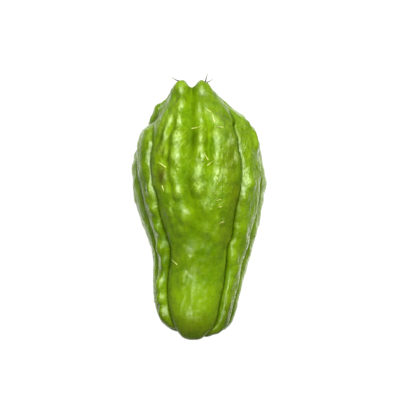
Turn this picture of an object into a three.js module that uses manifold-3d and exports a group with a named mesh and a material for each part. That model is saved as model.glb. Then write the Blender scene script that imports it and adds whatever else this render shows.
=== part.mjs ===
// A chayote squash as picked, lying on its side on a table.
//
// The fruit grew as one piece, so it is one solid: a pear shape with a stout neck, five
// lobes with tight creases between them, a narrow pit round the cut stalk at the neck's
// end, and at the blossom end the cross slit that the seed sprouts from. Low swellings
// cover the lobes, and sparse soft prickles grow out of the skin.
//
// Millimetres, +Z up. +Y points to the blossom end and X runs across the fruit. The
// origin lies on the table under the middle of the bounding box.
//
// Angles round the fruit are in degrees from the crown (+Z), positive towards +X.

import * as THREE from "three";
import { mergeVertices } from "three/addons/utils/BufferGeometryUtils.js";
import Module from "manifold-3d";

// The outline, from the cut stalk to the blossom end. Left and right are the edges seen
// from above, under and crown those seen from the side, before creases and swellings. A
// station is a row's number, or lies a share of the way between two rows.
const outline = [
  { y: -72.2, left: -2.5, right: -2.5, under: 23.0, crown: 23.0 }, // the stalk's cut end
  { y: -72.2, left: -4.3, right: -0.7, under: 21.2, crown: 24.8 }, // its edge
  { y: -70.4, left: -4.9, right: -0.1, under: 20.6, crown: 25.4 }, // its foot, in the pit
  { y: -71.6, left: -6.2, right: 1.2, under: 19.3, crown: 26.7 },
  { y: -74.6, left: -8.6, right: 3.6, under: 16.9, crown: 29.1 },
  { y: -75.2, left: -11.4, right: 7.6, under: 13.8, crown: 32.2 }, // the pit's rim
  { y: -72.9, left: -15.7, right: 13.0, under: 9.3, crown: 36.6 },
  { y: -69.0, left: -19.6, right: 17.6, under: 5.4, crown: 40.4 },
  { y: -63.0, left: -23.6, right: 20.4, under: 1.8, crown: 43.2 },
  { y: -54.0, left: -25.8, right: 22.8, under: -0.1, crown: 45.2 }, // the neck
  { y: -42.0, left: -26.6, right: 25.6, under: 0.5, crown: 47.5 },
  { y: -30.0, left: -26.4, right: 28.6, under: 2.2, crown: 51.0 },
  { y: -18.0, left: -28.6, right: 32.1, under: 2.4, crown: 56.0 },
  { y: -5.0, left: -33.6, right: 34.9, under: 1.2, crown: 61.5 },
  { y: 8.0, left: -37.4, right: 37.5, under: 0.2, crown: 66.0 },
  { y: 20.0, left: -38.6, right: 38.5, under: 0.0, crown: 68.2 }, // the belly
  { y: 31.0, left: -37.8, right: 36.6, under: 0.8, crown: 68.0 },
  { y: 41.0, left: -35.4, right: 35.2, under: 3.0, crown: 65.5 },
  { y: 50.0, left: -30.8, right: 30.8, under: 7.0, crown: 61.0 },
  { y: 58.0, left: -26.0, right: 21.8, under: 12.6, crown: 56.0 },
  { y: 65.0, left: -20.4, right: 14.4, under: 18.5, crown: 51.0 },
  { y: 70.2, left: -17.4, right: 9.6, under: 23.5, crown: 47.2 },
  { y: 73.4, left: -14.2, right: 6.0, under: 27.5, crown: 43.8 },
  { y: 74.6, left: -9.8, right: 1.6, under: 31.5, crown: 40.0 }, // the lips
  { y: 73.8, left: -4.1, right: -4.1, under: 35.6, crown: 35.6 }, // the mouth's floor
];
const rim = 5; // the station that is furthest towards the stalk
const lips = 22; // the station where the blossom end turns inwards
const last = outline.length - 1;

// Each crease's angle and depth along the fruit, as [y, value] pairs.
const creases = {
  leftUnder: {
    angle: [
      [-75, -78], [-62, -76], [-53, -73.5], [-38, -72.5], [-24, -74], [-16, -70], [-7, -70],
      [3, -70], [13, -71], [18, -76], [29, -79], [35, -85], [42, -92], [48, -97], [54, -90],
      [60, -86], [66, -94], [75, -104],
    ],
    depth: [
      [-75, 4], [-66, 4.6], [-45, 3.6], [0, 3], [30, 3], [48, 4.5], [56, 4.5], [66, 2.6],
      [75, 1.5],
    ],
  },
  leftCrown: {
    angle: [
      [-75, -53], [-69, -52], [-64, -49.5], [-56, -50], [-46, -49.5], [-36, -48.5],
      [-28, -45], [-22, -43.5], [-17.5, -46], [-4, -45.5], [9, -45], [15, -48],
      [22, -50.5], [33, -52.5], [39.5, -51.5], [45, -58], [51, -66], [56, -63],
      [61, -63], [66, -70], [71, -80], [75, -84],
    ],
    depth: [
      [-75, 4], [-66, 5.6], [-45, 5.2], [-10, 4.8], [20, 4.4], [40, 4.6], [56, 4.4],
      [66, 2.6], [75, 1.5],
    ],
  },
  rightCrown: {
    angle: [
      [-76, 26], [-73, 30], [-68, 36.5], [-61, 39], [-53, 40], [-44, 40], [-36, 39],
      [-28, 35], [-21, 34], [-17, 38], [-4, 38], [6, 39.5], [13.5, 41.5], [28, 43],
      [35, 41.5], [42, 40.5], [49, 42], [53, 51], [58, 63], [64, 73], [75, 84],
    ],
    depth: [
      [-75, 4], [-66, 5.4], [-45, 5], [-18, 5], [10, 3.6], [40, 3.4], [56, 3.6], [66, 2.4],
      [75, 1.5],
    ],
  },
  rightUnder: {
    angle: [
      [-75, 72], [-50, 73], [-42, 74], [-32, 69.5], [-21, 74], [-13, 71], [-4, 77],
      [8, 75], [17.5, 74], [29, 82], [38, 83], [47, 79], [56, 80], [64, 92], [75, 102],
    ],
    depth: [
      [-75, 4], [-66, 4.6], [-45, 3.6], [0, 3], [30, 3], [48, 3.6], [60, 3.2], [68, 2.4],
      [75, 1.5],
    ],
  },
  belly: {
    angle: [[-75, 176], [-30, 179], [20, 182], [50, 181], [75, 178]],
    depth: [[-75, 4], [-66, 4.8], [-30, 4.4], [10, 4.2], [50, 4.6], [68, 3], [75, 1.5]],
  },
};

// The lobes lie between neighbouring creases. Inset is how far a lobe's crest lies inside
// the outline, roundness how soon its flanks turn down, tightness the power that shapes the
// flanks (the lower, the narrower the crease), and columns its mesh columns.
const lobes = [
  {
    from: "leftUnder", to: "leftCrown", roundness: 2.2, tightness: 0.5, columns: 8,
    inset: [
      [-76, 4.8], [-74, 4.6], [-72, 3.6], [-68, 0.8], [-62, 0], [-30, 0.5], [20, 1.2],
      [35, 0], [46, 0], [50, 2.2], [54, 4], [64, 2.5], [73, 1.6], [76, 1.6],
    ],
  },
  {
    from: "leftCrown", to: "rightCrown", roundness: 3.2, tightness: 0.35, columns: 26,
    inset: [[-75, 0], [75, 0]],
  },
  {
    from: "rightCrown", to: "rightUnder", roundness: 2.4, tightness: 0.5, columns: 10,
    inset: [
      [-76, 1.6], [-74, 1.5], [-72, 0.8], [-66, 0], [50, 0], [56, 0.4], [62, 2], [73, 1.6],
      [76, 1.6],
    ],
  },
  {
    from: "rightUnder", to: "belly", roundness: 3.6, tightness: 0.35, columns: 16,
    inset: [
      [-76, 3.2], [-74, 3], [-70, 1.2], [-64, 0], [30, 0], [42, 1.5], [56, 0.8], [64, 0],
      [73, 1.2], [76, 1.2],
    ],
  },
  {
    from: "belly", to: "leftUnder", roundness: 3.6, tightness: 0.35, columns: 16,
    inset: [
      [-76, 3.6], [-74, 3.4], [-70, 1.4], [-64, 0], [30, 0], [40, 2], [46, 2.4], [50, 0.8],
      [60, 0], [66, 0.6], [73, 1.8], [76, 1.8],
    ],
  },
];
const crownLobe = lobes[1];
const lowerLobes = lobes.slice(3);

// Shallow valleys inside a lobe: half width in millimetres, and angle and depth by y.
const valleys = [
  {
    halfWidth: 4.2, // splits the crown lobe into two ribs from the blossom end down
    angle: [
      [-20, -5], [-9, -5], [4, -7], [12, -10], [19, -11], [27, -11], [36, -10.5], [45, -11.5],
      [55, -8], [65, -4.5], [75, 0],
    ],
    depth: [
      [-24, 0], [-8, 1.4], [4, 2.2], [18, 2], [35, 2.8], [55, 2.6], [66, 2.4], [72, 1.8],
      [76, 1.8],
    ],
  },
  {
    halfWidth: 2.7, // parts the tip's two knobs above
    angle: [[50, -8], [65, -4.5], [75, 0]],
    depth: [[58, 0], [66, 0.8], [72, 3], [76, 4.6]],
  },
  {
    halfWidth: 4.6, // parts the tip's two knobs underneath
    angle: [[50, 180], [75, 180]],
    depth: [[58, 0], [66, 1.5], [72, 4.4], [76, 5.4]],
  },
  {
    halfWidth: 2.4, // beside the narrow rib at the crown's left
    angle: [[0, -22], [20, -28.5], [40, -30], [58, -28]],
    depth: [[0, 0], [14, 1.4], [30, 2], [50, 1.8], [62, 0]],
  },
  {
    halfWidth: 2.6, // beside the right rib
    angle: [[0, 9], [20, 9], [40, 10], [60, 12]],
    depth: [[4, 0], [22, 1.6], [44, 2], [62, 0]],
  },
  {
    halfWidth: 5, // the middle of the right lower lobe
    angle: [[-60, 122], [0, 128], [60, 122]],
    depth: [[-50, 0], [-30, 1.4], [30, 2], [60, 1.6], [72, 0.5]],
  },
  {
    halfWidth: 5, // the middle of the left lower lobe
    angle: [[-60, -120], [0, -116], [60, -122]],
    depth: [[-50, 0], [-30, 1.4], [30, 2], [60, 1.6], [72, 0.5]],
  },
];

// The slit at the blossom end, across the fruit between the two lips. It starts at a station.
const mouth = { z: 35.6, depth: 4.5, halfHeight: 1.3, halfLength: 8, starts: 19 };

// Lobes, valleys and swellings fade out between these stations at either end.
const pitFade = { none: 1.9, whole: 3.2 };
const mouthFade = { whole: last - 0.9, none: last };

// Swellings seen from above: [x, y, half width across, half width along, height]. Those with
// a negative height are hollows.
const crownSwellings = [
  [-10.6, 71.5, 5, 4.5, 2.2], [2.2, 71.5, 5, 4.5, 2.2], // the knobs beside the tip's dip
  [-10.4, 62, 2.9, 4.1, 1.8], [-0.6, 59.6, 3.5, 3.5, 1.2], [-13.9, 53.3, 5.2, 3.8, 1.9],
  [-0.6, 53.8, 4.1, 3.2, 1.3], [8.7, 53.3, 3.5, 4.1, 1], [-20.4, 53.8, 1.6, 4.6, 0.9],
  [-19.2, 44.6, 1.5, 5.2, 1.5], [-19.6, 34.2, 1.5, 4.6, 1.3], [-13, 41.7, 5.4, 5, 2.2],
  [-13.3, 30.7, 4.9, 5.2, 2], [1.2, 41.7, 3.8, 4.6, 2.1], [3.2, 30.7, 2.6, 4.1, 1.3],
  [10.1, 43.4, 3.8, 4.6, 2], [11, 31.8, 3.8, 6.4, 1.8], [-18.5, 20.3, 3.5, 4.6, 1.3],
  [-8.7, 24.3, 5.2, 2.9, 0.7], [-1.2, 19.1, 4.1, 3.5, 1.4], [0, 11.6, 4.2, 4.6, 1.6],
  [8.7, 13.9, 3.2, 5.2, 0.6], [-13.3, 9.3, 3.5, 3.5, 1], [-7.5, -3.5, 4.1, 4.6, 1.7],
  [-12.2, -10.4, 4.1, 4.6, 0.7], [4.1, 1.2, 4.6, 5.2, 0.5], [10.4, -15.1, 4.1, 4.6, 0.7],
  [-7.5, -27.2, 4.6, 5.8, 0.7], [8.5, -24.3, 4.1, 4.6, 0.7], [-9.6, -40, 2.6, 4.6, 0.7],
  [-3.5, -47.5, 2.6, 7.5, 0.8], [-17.4, -1.7, 2.6, 4.1, 0.7], [-16.8, -15.1, 2.6, 4.1, 0.6],
  [13.9, 47.5, 2.3, 5.2, 0.8], [17.4, 34.7, 2.9, 4.6, 0.6], [17.4, 18.5, 2.9, 5.2, 0.6],
  [12.7, -6.9, 2.3, 3.5, 0.5],
  // hollows
  [-4.6, 40, 2.9, 8.1, -1.4], [-22.9, 41.7, 2, 4.1, -1.1], [15.1, 55.6, 2, 3.5, -0.8],
  [-6.4, 9.8, 2, 8.1, -0.8], [13.3, -3.5, 1.7, 2.3, -0.8], [5.5, 34.7, 1.3, 6.9, -0.8],
  // along the left lobe, from its shoulder to its end
  [-28.4, 39.4, 2.6, 3.5, 1.5], [-33, 27.2, 2.9, 4.6, 0.6], [-28.9, 12.2, 3.5, 5.2, 1.7],
  [-30.7, 4.1, 2.9, 2.9, 0.6], [-27, -0.6, 3.5, 3.2, 1.9], [-24.3, -11, 3.2, 3.5, 1.4],
  [-22.8, -22.6, 3.5, 4.1, 2.1], [-21, -30.7, 2.9, 3.5, 1], [-22.6, -43.4, 3.7, 4.8, 2.4],
  [-22.6, -51.5, 3.2, 3.2, 1.9], [-21.5, -60.5, 3.5, 4.2, 1.4],
  // along the right lobe
  [26.9, 50.4, 4.1, 3.5, 1.2], [31.6, 43.7, 3.5, 3.5, 1.5], [33, 37.6, 2.9, 3.5, 1.6],
  [22, 41.1, 3.8, 4.6, 2.1], [24, 30.7, 3.5, 5.2, 1.9], [30.1, 15.1, 4.1, 3.5, 1.6],
  [25.5, 7.5, 4.1, 4.6, 2.1], [22.6, -2.3, 4.6, 4.6, 1.3], [25.5, -11, 4.1, 4.6, 1.2],
  [19.1, -28.4, 4.1, 4.6, 1.9], [21.1, -34.7, 2.9, 3.5, 1.1], [16.8, -43.4, 4.1, 5.2, 1.3],
  [16.2, -53.3, 4.1, 5.2, 0.9], [13.3, -62.5, 4.6, 4.6, 1],
];
const flatTop = 1.5; // the power that a crown swelling's height falls off by: 1 makes a round top
const roundTop = 1;

// Knobs that the edges show from above: [angle, y, half width round, half width along, height].
const sideSwellings = [
  [-96, 60, 8, 3, 1.8], [-92, 50, 6, 3.5, 0.5], [100, 55, 8, 2.4, 0.9], [96, 46.9, 8, 2.4, 1.1],
  [94, 38.8, 8, 2.4, 1.1], [98, 50.8, 8, 1.6, -0.6], [95, 42.8, 8, 1.6, -0.6],
];

// Swellings on the sides and underside stand in rows along the two lower lobes. Each strays
// along the fruit by up to its wander, and across the lobe by up to its sway, a share. At the
// edges seen from above, up to the angle edgeEnds, they are lower, by edgeShare.
const lowerRows = { shares: [0.12, 0.31, 0.5, 0.69, 0.88], start: -56, end: 62, step: 10 };
const lowerSwelling = {
  wander: 2.2, sway: 0.03, narrow: 3.2, wide: 4.8, low: 1, high: 2, neckShare: 0.5,
  edgeShare: 0.4, edgeStarts: 90, edgeEnds: 115,
};
const neckEnds = -26; // the y below which the skin is smoother

// Prickles seen from above: [x, y, heading in degrees from +X towards +Y].
const crownPrickles = [
  [-11.6, 74.5, 171], [3.4, 74.2, 72], [4.4, 73.6, 8], [6.5, 56, 189], [8.9, 50.5, 114],
  [-3.2, 47.9, 349], [12.8, 47.1, 205], [4.7, 29.8, 126], [5.3, 25.8, 39],
  [-19.5, 24.4, 140], [-21.4, 13.9, 321], [12.3, 6.1, 178], [12.9, 1.9, 165],
  [13.5, -6.7, 180], [-13, -31.3, 113],
];
const prickle = { length: 4.8, rootRadius: 0.42, tipRadius: 0.12, sides: 3, sunk: 1.2, lift: 24 };
const sidePrickles = {
  count: 22, fromAngle: 104, toAngle: 144, fromY: -56, toY: 56, sideways: 0.5, upwards: 0.6,
};
const tableClearance = 1.5; // no prickle comes closer to the table

const meshRows = 70;
const crowding = 0.6; // how much a lobe's mesh columns crowd towards its creases, 0 to 1
const nearEnd = 0.0001; // how far from the outline's end its end points are taken
const weldDistance = 0.0001;
const roomSize = 400;
const seed = 1;
const shift = { x: -0.55, y: 1.25, z: 0.55 }; // puts the origin under the bounding box's middle

const radians = THREE.MathUtils.degToRad;
const mix = THREE.MathUtils.lerp;
const smoothstep = THREE.MathUtils.smoothstep;

// A small repeatable random generator, 0 to 1.
function randomFrom(start) {
  const multiplier = 16807;
  const modulus = 2 ** 31 - 1;
  let state = start;
  return () => {
    state = (state * multiplier) % modulus;
    return state / modulus;
  };
}

// A smooth curve through [at, value] pairs, level beyond its ends.
function curve(points, at) {
  const final = points.length - 1;
  if (at <= points[0][0]) {
    return points[0][1];
  }
  if (at >= points[final][0]) {
    return points[final][1];
  }
  let i = 0;
  while (points[i + 1][0] < at) {
    i += 1;
  }
  const slope = (k) => {
    const before = points[Math.max(k - 1, 0)];
    const after = points[Math.min(k + 1, final)];
    return (after[1] - before[1]) / (after[0] - before[0]);
  };
  const [start, from] = points[i];
  const [end, to] = points[i + 1];
  const span = end - start;
  const t = (at - start) / span;
  const t2 = t * t;
  const t3 = t2 * t;
  return (2 * t3 - 3 * t2 + 1) * from + (t3 - 2 * t2 + t) * span * slope(i)
    + (3 * t2 - 2 * t3) * to + (t3 - t2) * span * slope(i + 1);
}

const columnOf = (key) => outline.map((row, i) => [i, row[key]]);
const edges = {
  y: columnOf("y"),
  left: columnOf("left"),
  right: columnOf("right"),
  under: columnOf("under"),
  crown: columnOf("crown"),
};

// The outline's section at station s: its middle, half sizes, mean radius and y.
function section(s) {
  const left = curve(edges.left, s);
  const right = curve(edges.right, s);
  const under = curve(edges.under, s);
  const crown = curve(edges.crown, s);
  const halfWidth = (right - left) / 2;
  const halfHeight = (crown - under) / 2;
  return {
    x: (left + right) / 2,
    y: curve(edges.y, s),
    z: (under + crown) / 2,
    halfWidth,
    halfHeight,
    radius: (halfWidth + halfHeight) / 2,
  };
}

// A point of the plain envelope, with no creases or swellings.
function envelope(angle, s) {
  const a = section(s);
  return new THREE.Vector3(
    a.x + a.halfWidth * Math.sin(radians(angle)),
    a.y,
    a.z + a.halfHeight * Math.cos(radians(angle)),
  );
}

// The envelope's outward direction, by small differences.
function envelopeNormal(angle, s) {
  const stepAngle = 0.5;
  const stepStation = 0.02;
  const inside = 0.001;
  const lower = Math.max(s - stepStation, inside);
  const upper = Math.min(s + stepStation, last - inside);
  const round = envelope(angle + stepAngle, s).sub(envelope(angle - stepAngle, s));
  const along = envelope(angle, upper).sub(envelope(angle, lower));
  return along.cross(round).normalize().negate();
}

// The station on the fruit's side, between the rim and the lips, with this y.
function stationAt(y) {
  const halvings = 40;
  let low = rim;
  let high = lips;
  for (let i = 0; i < halvings; i += 1) {
    const middle = (low + high) / 2;
    if (section(middle).y < y) {
      low = middle;
    } else {
      high = middle;
    }
  }
  return (low + high) / 2;
}

// The angle of the skin's point that is seen from above at x.
function angleFromAbove(x, a) {
  const share = THREE.MathUtils.clamp((x - a.x) / a.halfWidth, -1, 1);
  return THREE.MathUtils.radToDeg(Math.asin(share));
}

// The turn from b to a, from -180 to 180 degrees.
function angleApart(a, b) {
  return ((((a - b + 180) % 360) + 360) % 360) - 180;
}

// The lobe's two edge angles at this y, the first always the lower.
function lobeEdges(lobe, y) {
  const from = curve(creases[lobe.from].angle, y);
  const to = curve(creases[lobe.to].angle, y);
  return [lobe.from === "belly" ? from - 360 : from, to];
}

const swellings = [];

function addSwelling(angle, y, across, along, height, power) {
  const { radius } = section(stationAt(y));
  swellings.push({ angle, y, across, along, height, power, radius });
}

function placeCrownSwellings() {
  for (const [x, y, across, along, height] of crownSwellings) {
    const angle = angleFromAbove(x, section(stationAt(y)));
    addSwelling(angle, y, across, along, height, flatTop);
  }
}

function placeLowerSwellings() {
  for (const swelling of sideSwellings) {
    addSwelling(...swelling, roundTop);
  }
  const random = randomFrom(seed);
  for (const lobe of lowerLobes) {
    for (const share of lowerRows.shares) {
      for (let y = lowerRows.start; y <= lowerRows.end; y += lowerRows.step) {
        const at = y + (2 * random() - 1) * lowerSwelling.wander;
        const [from, to] = lobeEdges(lobe, at);
        const angle = mix(from, to, share + (2 * random() - 1) * lowerSwelling.sway);
        const size = mix(lowerSwelling.narrow, lowerSwelling.wide, random());
        const tall = mix(lowerSwelling.low, lowerSwelling.high, random());
        const under = smoothstep(Math.abs(angle), lowerSwelling.edgeStarts, lowerSwelling.edgeEnds);
        const onEdge = mix(lowerSwelling.edgeShare, 1, under);
        const onNeck = at < neckEnds ? lowerSwelling.neckShare : 1;
        addSwelling(angle, at, size, size, tall * onEdge * onNeck, roundTop);
      }
    }
  }
}

// How far the skin stands out from the envelope where its swellings are.
function swellingHeight(angle, y) {
  let height = 0;
  for (const s of swellings) {
    const across = (radians(angleApart(angle, s.angle)) * s.radius) / s.across;
    const along = (y - s.y) / s.along;
    height += s.height * Math.exp(-((across ** 2 + along ** 2) ** s.power));
  }
  return height;
}

// How far the skin lies below the envelope in its shallow valleys.
function valleyDepth(angle, y, radius) {
  let depth = 0;
  for (const v of valleys) {
    const off = (radians(angleApart(angle, curve(v.angle, y))) * radius) / v.halfWidth;
    depth += curve(v.depth, y) * Math.exp(-(off ** 2));
  }
  return depth;
}

// The slit's depth at a point of the blossom end.
function mouthDepth(point, s) {
  if (s < mouth.starts) {
    return 0;
  }
  const across = (point.z - mouth.z) / mouth.halfHeight;
  const along = (point.x - section(last).x) / mouth.halfLength;
  return mouth.depth * Math.exp(-(across ** 2) - along ** 4);
}

// The skin at a share of the way across a lobe, 0 to 1, and station s.
function skin(lobe, share, s) {
  const a = section(s);
  const [from, to] = lobeEdges(lobe, a.y);
  const angle = mix(from, to, share);
  const arch = (1 - Math.abs(2 * share - 1) ** lobe.roundness) ** lobe.tightness;
  const crease = mix(
    curve(creases[lobe.from].depth, a.y),
    curve(creases[lobe.to].depth, a.y),
    share,
  );
  const depth = mix(crease, curve(lobe.inset, a.y), arch) + valleyDepth(angle, a.y, a.radius);
  const inPit = smoothstep(s, pitFade.none, pitFade.whole);
  const inMouth = 1 - smoothstep(s, mouthFade.whole, mouthFade.none);
  const relief = (swellingHeight(angle, a.y) * arch - depth) * inPit * inMouth;
  const point = envelope(angle, s);
  return point.addScaledVector(envelopeNormal(angle, s), relief - mouthDepth(point, s));
}

// The skin's point at an angle round the fruit.
function skinAt(angle, s) {
  const { y } = section(s);
  for (const lobe of lobes) {
    const [from, to] = lobeEdges(lobe, y);
    for (const turn of [0, 360, -360]) {
      const share = (angle + turn - from) / (to - from);
      if (share >= 0 && share < 1) {
        return skin(lobe, share, s);
      }
    }
  }
  return envelope(angle, s);
}

// The skin's points, a ring of columns at each row, then one at the stalk and at the mouth.
function skinPoints(rows) {
  const points = [];
  for (const s of rows) {
    for (const lobe of lobes) {
      for (let c = 0; c < lobe.columns; c += 1) {
        const even = c / lobe.columns;
        const crowded = (1 - Math.cos(Math.PI * even)) / 2;
        points.push(skin(lobe, mix(even, crowded, crowding), s));
      }
    }
  }
  points.push(skin(crownLobe, 0.5, nearEnd), skin(crownLobe, 0.5, last - nearEnd));
  return points;
}

// The whole skin as a closed mesh.
function skinGeometry() {
  const rows = [];
  for (let i = 1; i < meshRows; i += 1) {
    rows.push((i / meshRows) * last);
  }
  const points = skinPoints(rows);
  const ring = lobes.reduce((sum, lobe) => sum + lobe.columns, 0);
  const lastRing = (rows.length - 1) * ring;
  const stalkEnd = points.length - 2;
  const mouthEnd = points.length - 1;
  const index = [];
  for (let c = 0; c < ring; c += 1) {
    const next = (c + 1) % ring;
    for (let r = 0; r < lastRing; r += ring) {
      index.push(r + c, r + next, r + ring + c);
      index.push(r + next, r + ring + next, r + ring + c);
    }
    index.push(stalkEnd, next, c);
    index.push(mouthEnd, lastRing + c, lastRing + next);
  }
  return new THREE.BufferGeometry().setFromPoints(points).setIndex(index);
}

// One prickle: a slim three-sided cone, leaning over the skin towards a heading.
function prickleGeometry(root, normal, heading) {
  const flat = heading.clone().addScaledVector(normal, -heading.dot(normal)).normalize();
  const lift = radians(prickle.lift);
  const axis = flat.multiplyScalar(Math.cos(lift)).addScaledVector(normal, Math.sin(lift));
  const whole = prickle.length + prickle.sunk;
  const geometry = new THREE.CylinderGeometry(
    prickle.tipRadius, prickle.rootRadius, whole, prickle.sides,
  );
  geometry.translate(0, whole / 2 - prickle.sunk, 0);
  geometry.applyQuaternion(
    new THREE.Quaternion().setFromUnitVectors(new THREE.Vector3(0, 1, 0), axis),
  );
  geometry.translate(root.x, root.y, root.z);
  return geometry;
}

function pricklesOnCrown() {
  return crownPrickles.map(([x, y, heading]) => {
    const s = stationAt(y);
    const angle = angleFromAbove(x, section(s));
    const way = new THREE.Vector3(Math.cos(radians(heading)), Math.sin(radians(heading)), 0);
    return prickleGeometry(skinAt(angle, s), envelopeNormal(angle, s), way);
  });
}

function pricklesOnSides() {
  const { count, fromAngle, toAngle, fromY, toY, sideways, upwards } = sidePrickles;
  const random = randomFrom(seed + 1);
  const made = [];
  for (let i = 0; i < count; i += 1) {
    const side = i % 2 ? 1 : -1;
    const angle = side * mix(fromAngle, toAngle, random());
    const s = stationAt(mix(fromY, toY, (i + random()) / count));
    const way = new THREE.Vector3(
      mix(-sideways, sideways, random()),
      mix(-sideways, sideways, random()),
      random() * upwards,
    );
    const geometry = prickleGeometry(skinAt(angle, s), envelopeNormal(angle, s), way);
    geometry.computeBoundingBox();
    if (geometry.boundingBox.min.z > tableClearance) {
      made.push(geometry);
    }
  }
  return made;
}

// The room above the table. It cuts the small flat spots that the fruit rests on.
function roomAboveTable() {
  const geometry = new THREE.BoxGeometry(roomSize, roomSize, roomSize);
  return geometry.translate(0, 0, roomSize / 2 + shift.z);
}

const wasm = await Module();
wasm.setup();

// A closed geometry as a manifold-3d solid.
function solidOf(geometry) {
  const bare = geometry.clone();
  bare.deleteAttribute("normal");
  bare.deleteAttribute("uv");
  const merged = mergeVertices(bare, weldDistance);
  return new wasm.Manifold(
    new wasm.Mesh({
      numProp: 3,
      vertProperties: merged.attributes.position.array,
      triVerts: new Uint32Array(merged.index.array),
    }),
  );
}

// A manifold-3d solid as a geometry.
function geometryOf(solid) {
  const mesh = solid.getMesh();
  const positions = new Float32Array(mesh.numVert * 3);
  for (let i = 0; i < mesh.numVert; i += 1) {
    positions.set(mesh.vertProperties.subarray(i * mesh.numProp, i * mesh.numProp + 3), i * 3);
  }
  const geometry = new THREE.BufferGeometry();
  geometry.setAttribute("position", new THREE.BufferAttribute(positions, 3));
  geometry.setIndex(new THREE.BufferAttribute(new Uint32Array(mesh.triVerts), 1));
  geometry.computeVertexNormals();
  return geometry;
}

// The fruit: its skin, with the prickles joined to it and its flat spots cut.
function chayoteGeometry() {
  placeCrownSwellings();
  placeLowerSwellings();
  let solid = solidOf(skinGeometry());
  for (const geometry of [...pricklesOnCrown(), ...pricklesOnSides()]) {
    solid = solid.add(solidOf(geometry));
  }
  solid = solid.intersect(solidOf(roomAboveTable()));
  return geometryOf(solid);
}

const skinMaterial = new THREE.MeshStandardMaterial({
  color: 0x7fae1f,
  roughness: 0.32,
  metalness: 0,
});

const chayote = new THREE.Mesh(chayoteGeometry(), skinMaterial);
chayote.name = "chayote_fruit";
chayote.position.set(-shift.x, -shift.y, -shift.z);

const part = new THREE.Group();
part.add(chayote);

export default part;
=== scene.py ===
"""A chayote squash as picked, lying on its side on a pale table.

The fruit grew as one piece, so it is one skin: a pear shape with a stout neck and five
lobes, a narrow pit round the cut stalk at the neck's end, and the cross slit that the seed
sprouts from at the blossom end. Sparse soft prickles grow out of the skin.

The shape is worked out in millimetres from the same rows and lists as the solid that it
stands for, with more rows and columns, and is then wrinkled more finely. Angles round the
fruit are in degrees from the crown (+Z), positive towards +X. +Y is the blossom end.
"""

import math

import bmesh
import bpy
import numpy as np
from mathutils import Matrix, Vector, noise


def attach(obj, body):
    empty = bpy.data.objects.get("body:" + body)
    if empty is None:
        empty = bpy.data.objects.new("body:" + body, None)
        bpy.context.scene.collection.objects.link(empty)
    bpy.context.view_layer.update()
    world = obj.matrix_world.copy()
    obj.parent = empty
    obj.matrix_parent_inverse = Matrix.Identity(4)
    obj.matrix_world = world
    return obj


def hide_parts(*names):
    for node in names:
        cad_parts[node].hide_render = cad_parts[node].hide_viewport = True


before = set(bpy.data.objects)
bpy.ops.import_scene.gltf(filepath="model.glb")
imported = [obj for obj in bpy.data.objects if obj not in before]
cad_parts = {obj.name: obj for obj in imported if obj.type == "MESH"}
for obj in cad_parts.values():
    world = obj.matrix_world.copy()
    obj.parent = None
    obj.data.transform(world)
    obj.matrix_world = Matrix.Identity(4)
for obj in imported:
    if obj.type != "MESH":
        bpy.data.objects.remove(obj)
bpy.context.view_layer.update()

bl_info = {
    "name": "Chayote squash",
    "version": (1, 0, 0),
    "blender": (4, 5, 0),
    "location": "View3D > Sidebar > Chayote",
    "description": "Makes a chayote squash with its prickles and a plain table to see it on",
    "category": "Add Mesh",
}

MM = 0.001
FRUIT = "chayote_fruit"
BODY = "root"

# The outline, from the cut stalk to the blossom end: y, left, right, under, crown. Left and
# right are the edges seen from above, under and crown those seen from the side.
OUTLINE = [
    (-72.2, -2.5, -2.5, 23.0, 23.0),  # the stalk's cut end
    (-72.2, -4.3, -0.7, 21.2, 24.8),  # its edge
    (-70.4, -4.9, -0.1, 20.6, 25.4),  # its foot, in the pit
    (-71.6, -6.2, 1.2, 19.3, 26.7),
    (-74.6, -8.6, 3.6, 16.9, 29.1),
    (-75.2, -11.4, 7.6, 13.8, 32.2),  # the pit's rim
    (-72.9, -15.7, 13.0, 9.3, 36.6),
    (-69.0, -19.6, 17.6, 5.4, 40.4),
    (-63.0, -23.6, 20.4, 1.8, 43.2),
    (-54.0, -25.8, 22.8, -0.1, 45.2),  # the neck
    (-42.0, -26.6, 25.6, 0.5, 47.5),
    (-30.0, -26.4, 28.6, 2.2, 51.0),
    (-18.0, -28.6, 32.1, 2.4, 56.0),
    (-5.0, -33.6, 34.9, 1.2, 61.5),
    (8.0, -37.4, 37.5, 0.2, 66.0),
    (20.0, -38.6, 38.5, 0.0, 68.2),  # the belly
    (31.0, -37.8, 36.6, 0.8, 68.0),
    (41.0, -35.4, 35.2, 3.0, 65.5),
    (50.0, -30.8, 30.8, 7.0, 61.0),
    (58.0, -26.0, 21.8, 12.6, 56.0),
    (65.0, -20.4, 14.4, 18.5, 51.0),
    (70.2, -17.4, 9.6, 23.5, 47.2),
    (73.4, -14.2, 6.0, 27.5, 43.8),
    (74.6, -9.8, 1.6, 31.5, 40.0),  # the lips
    (73.8, -4.1, -4.1, 35.6, 35.6),  # the mouth's floor
]
RIM = 5  # the station that is furthest towards the stalk
LIPS = 22  # the station where the blossom end turns inwards
LAST = len(OUTLINE) - 1
PIT_FADE = (1.9, 3.2)  # the stations between which the pit's smooth skin ends
MOUTH_FADE = 0.9  # over this many stations before the last one the relief fades out
MOUTH_STARTS = LIPS - 3  # the station from which on the slit is cut
SHIFT = (-0.55, 1.25, 0.55)  # from the outline's own millimetres to the object's frame

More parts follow.
